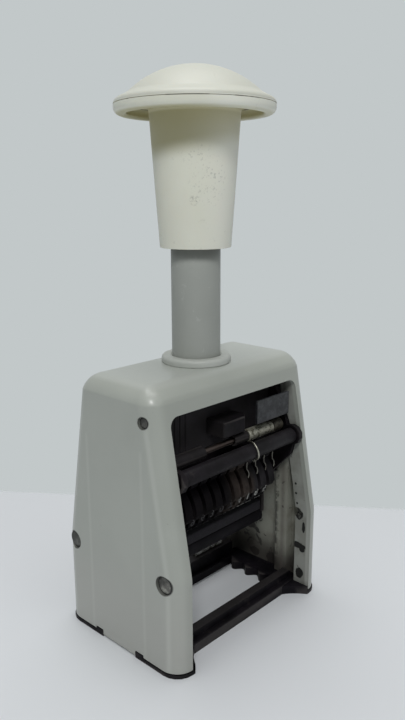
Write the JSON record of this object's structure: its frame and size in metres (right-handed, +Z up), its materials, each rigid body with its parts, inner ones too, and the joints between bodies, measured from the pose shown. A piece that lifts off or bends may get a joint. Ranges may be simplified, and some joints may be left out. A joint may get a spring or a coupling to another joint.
{
  "type": "numbering machine",
  "caption": "Hand numbering machine: open grey housing, sprung palm knob, carriage of numbering wheels on one axle, detent levers and a swinging ink pad.",
  "frame": {"origin": "middle of the underside that stands on the table, below the knob's axis", "axes": "+Z up along the knob's stroke, -Y towards the open front where the wheels are read, +X along the wheel axle to the right as seen from the front"},
  "size_m": [0.0742, 0.0546, 0.181],
  "materials": {
    "housing_paint": "smooth semi-gloss grey enamel",
    "ivory_plastic": "smooth moulded ivory, slightly scuffed",
    "black_parts": "dark moulded, satin",
    "bright_steel": "turned, slightly tarnished",
    "dull_brass": "dull, oiled",
    "dark_steel": "blackened, ink-stained",
    "pad_felt": "ink-soaked felt",
    "grey_plate": "worn dark grey"
  },
  "bodies": {
    "frame": {"housing_shell": "housing_paint", "base_frame": "black_parts", "barrel_tube": "housing_paint", "guide_collar": "housing_paint", "rear_leaf": "bright_steel", "screw_lower_front_left": "bright_steel", "screw_lower_back_left": "bright_steel", "screw_upper_front_left": "bright_steel", "screw_lower_front_right": "bright_steel", "screw_lower_back_right": "bright_steel", "screw_upper_front_right": "bright_steel", "return_spring": "bright_steel"},
    "carriage": {"plunger_rod": "bright_steel", "knob_body": "ivory_plastic", "knob_cap": "ivory_plastic", "head_block": "black_parts", "counter_block": "black_parts", "index_plate": "grey_plate", "side_plate_left": "dark_steel", "side_plate_right": "dark_steel", "front_crossbar": "black_parts", "wheel_axle": "bright_steel", "lever_shaft": "bright_steel", "cross_shaft": "dark_steel", "shaft_collar": "dark_steel", "shaft_sleeve": "bright_steel", "shaft_bush": "dull_brass", "shaft_hub": "black_parts", "wire_spring": "bright_steel"},
    "pad_frame": {"pad_tray": "black_parts", "felt_pad": "pad_felt", "pad_arm_left": "dark_steel", "pad_arm_right": "dark_steel"},
    "drive_frame": {"drive_comb": "dark_steel"},
    "wheel_01": {"numbering_wheel_01": "dark_steel"},
    "lever_01": {"detent_lever_01": "dark_steel"},
    "wheel_02": {"numbering_wheel_02": "dark_steel"},
    "lever_02": {"detent_lever_02": "dark_steel"},
    "wheel_03": {"numbering_wheel_03": "dark_steel"},
    "lever_03": {"detent_lever_03": "dark_steel"},
    "wheel_04": {"numbering_wheel_04": "dark_steel"},
    "lever_04": {"detent_lever_04": "dark_steel"},
    "wheel_05": {"numbering_wheel_05": "dark_steel"},
    "lever_05": {"detent_lever_05": "dark_steel"},
    "wheel_06": {"numbering_wheel_06": "dark_steel"},
    "lever_06": {"detent_lever_06": "dark_steel"},
    "wheel_07": {"numbering_wheel_07": "dark_steel"},
    "lever_07": {"detent_lever_07": "dark_steel"},
    "wheel_08": {"numbering_wheel_08": "dark_steel"},
    "lever_08": {"detent_lever_08": "dark_steel"},
    "wheel_09": {"numbering_wheel_09": "dark_steel"},
    "lever_09": {"detent_lever_09": "dark_steel"},
    "wheel_10": {"numbering_wheel_10": "dark_steel"},
    "lever_10": {"detent_lever_10": "dark_steel"}
  },
  "joints": [
    {"name": "plunger_slide", "type": "slide", "parent": "frame", "child": "carriage", "axis": [0, 0, -1], "range_m": [0, 0.034], "stiffness_N_per_m": 200, "springref_m": -0.07, "deforming": ["return_spring"]},
    {"name": "pad_swing", "type": "hinge", "parent": "carriage", "child": "pad_frame", "pos_m": [0, -0.005, 0.044], "axis": [1, 0, 0], "range_deg": [0, 110]},
    {"name": "drive_swing", "type": "hinge", "parent": "carriage", "child": "drive_frame", "pos_m": [0, -0.005, 0.044], "axis": [-1, 0, 0], "range_deg": [0, 25]},
    {"name": "wheel_01_spin", "type": "hinge", "parent": "carriage", "child": "wheel_01", "pos_m": [0, -0.005, 0.044], "axis": [1, 0, 0], "continuous": true},
    {"name": "wheel_02_spin", "type": "hinge", "parent": "carriage", "child": "wheel_02", "pos_m": [0, -0.005, 0.044], "axis": [1, 0, 0], "continuous": true},
    {"name": "wheel_03_spin", "type": "hinge", "parent": "carriage", "child": "wheel_03", "pos_m": [0, -0.005, 0.044], "axis": [1, 0, 0], "continuous": true},
    {"name": "wheel_04_spin", "type": "hinge", "parent": "carriage", "child": "wheel_04", "pos_m": [0, -0.005, 0.044], "axis": [1, 0, 0], "continuous": true},
    {"name": "wheel_05_spin", "type": "hinge", "parent": "carriage", "child": "wheel_05", "pos_m": [0, -0.005, 0.044], "axis": [1, 0, 0], "continuous": true},
    {"name": "wheel_06_spin", "type": "hinge", "parent": "carriage", "child": "wheel_06", "pos_m": [0, -0.005, 0.044], "axis": [1, 0, 0], "continuous": true},
    {"name": "wheel_07_spin", "type": "hinge", "parent": "carriage", "child": "wheel_07", "pos_m": [0, -0.005, 0.044], "axis": [1, 0, 0], "continuous": true},
    {"name": "wheel_08_spin", "type": "hinge", "parent": "carriage", "child": "wheel_08", "pos_m": [0, -0.005, 0.044], "axis": [1, 0, 0], "continuous": true},
    {"name": "wheel_09_spin", "type": "hinge", "parent": "carriage", "child": "wheel_09", "pos_m": [0, -0.005, 0.044], "axis": [1, 0, 0], "continuous": true},
    {"name": "wheel_10_spin", "type": "hinge", "parent": "carriage", "child": "wheel_10", "pos_m": [0, -0.005, 0.044], "axis": [1, 0, 0], "continuous": true},
    {"name": "lever_01_lift", "type": "hinge", "parent": "carriage", "child": "lever_01", "pos_m": [0, -0.01258, 0.05444], "axis": [-1, 0, 0], "range_deg": [0, 5], "stiffness_Nm_per_rad": 0.002, "springref_deg": -17.19},
    {"name": "lever_02_lift", "type": "hinge", "parent": "carriage", "child": "lever_02", "pos_m": [0, -0.01258, 0.05444], "axis": [-1, 0, 0], "range_deg": [0, 5], "stiffness_Nm_per_rad": 0.002, "springref_deg": -17.19},
    {"name": "lever_03_lift", "type": "hinge", "parent": "carriage", "child": "lever_03", "pos_m": [0, -0.01258, 0.05444], "axis": [-1, 0, 0], "range_deg": [0, 5], "stiffness_Nm_per_rad": 0.002, "springref_deg": -17.19},
    {"name": "lever_04_lift", "type": "hinge", "parent": "carriage", "child": "lever_04", "pos_m": [0, -0.01258, 0.05444], "axis": [-1, 0, 0], "range_deg": [0, 5], "stiffness_Nm_per_rad": 0.002, "springref_deg": -17.19},
    {"name": "lever_05_lift", "type": "hinge", "parent": "carriage", "child": "lever_05", "pos_m": [0, -0.01258, 0.05444], "axis": [-1, 0, 0], "range_deg": [0, 5], "stiffness_Nm_per_rad": 0.002, "springref_deg": -17.19},
    {"name": "lever_06_lift", "type": "hinge", "parent": "carriage", "child": "lever_06", "pos_m": [0, -0.01258, 0.05444], "axis": [-1, 0, 0], "range_deg": [0, 5], "stiffness_Nm_per_rad": 0.002, "springref_deg": -17.19},
    {"name": "lever_07_lift", "type": "hinge", "parent": "carriage", "child": "lever_07", "pos_m": [0, -0.01258, 0.05444], "axis": [-1, 0, 0], "range_deg": [0, 5], "stiffness_Nm_per_rad": 0.002, "springref_deg": -17.19},
    {"name": "lever_08_lift", "type": "hinge", "parent": "carriage", "child": "lever_08", "pos_m": [0, -0.01258, 0.05444], "axis": [-1, 0, 0], "range_deg": [0, 5], "stiffness_Nm_per_rad": 0.002, "springref_deg": -17.19},
    {"name": "lever_09_lift", "type": "hinge", "parent": "carriage", "child": "lever_09", "pos_m": [0, -0.01258, 0.05444], "axis": [-1, 0, 0], "range_deg": [0, 5], "stiffness_Nm_per_rad": 0.002, "springref_deg": -17.19},
    {"name": "lever_10_lift", "type": "hinge", "parent": "carriage", "child": "lever_10", "pos_m": [0, -0.01258, 0.05444], "axis": [-1, 0, 0], "range_deg": [0, 5], "stiffness_Nm_per_rad": 0.002, "springref_deg": -17.19}
  ],
  "couplings": [
    {"joint": "pad_swing", "follows": "plunger_slide", "rad_per_m": 56.4},
    {"joint": "drive_swing", "follows": "plunger_slide", "rad_per_m": 12.8}
  ]
}
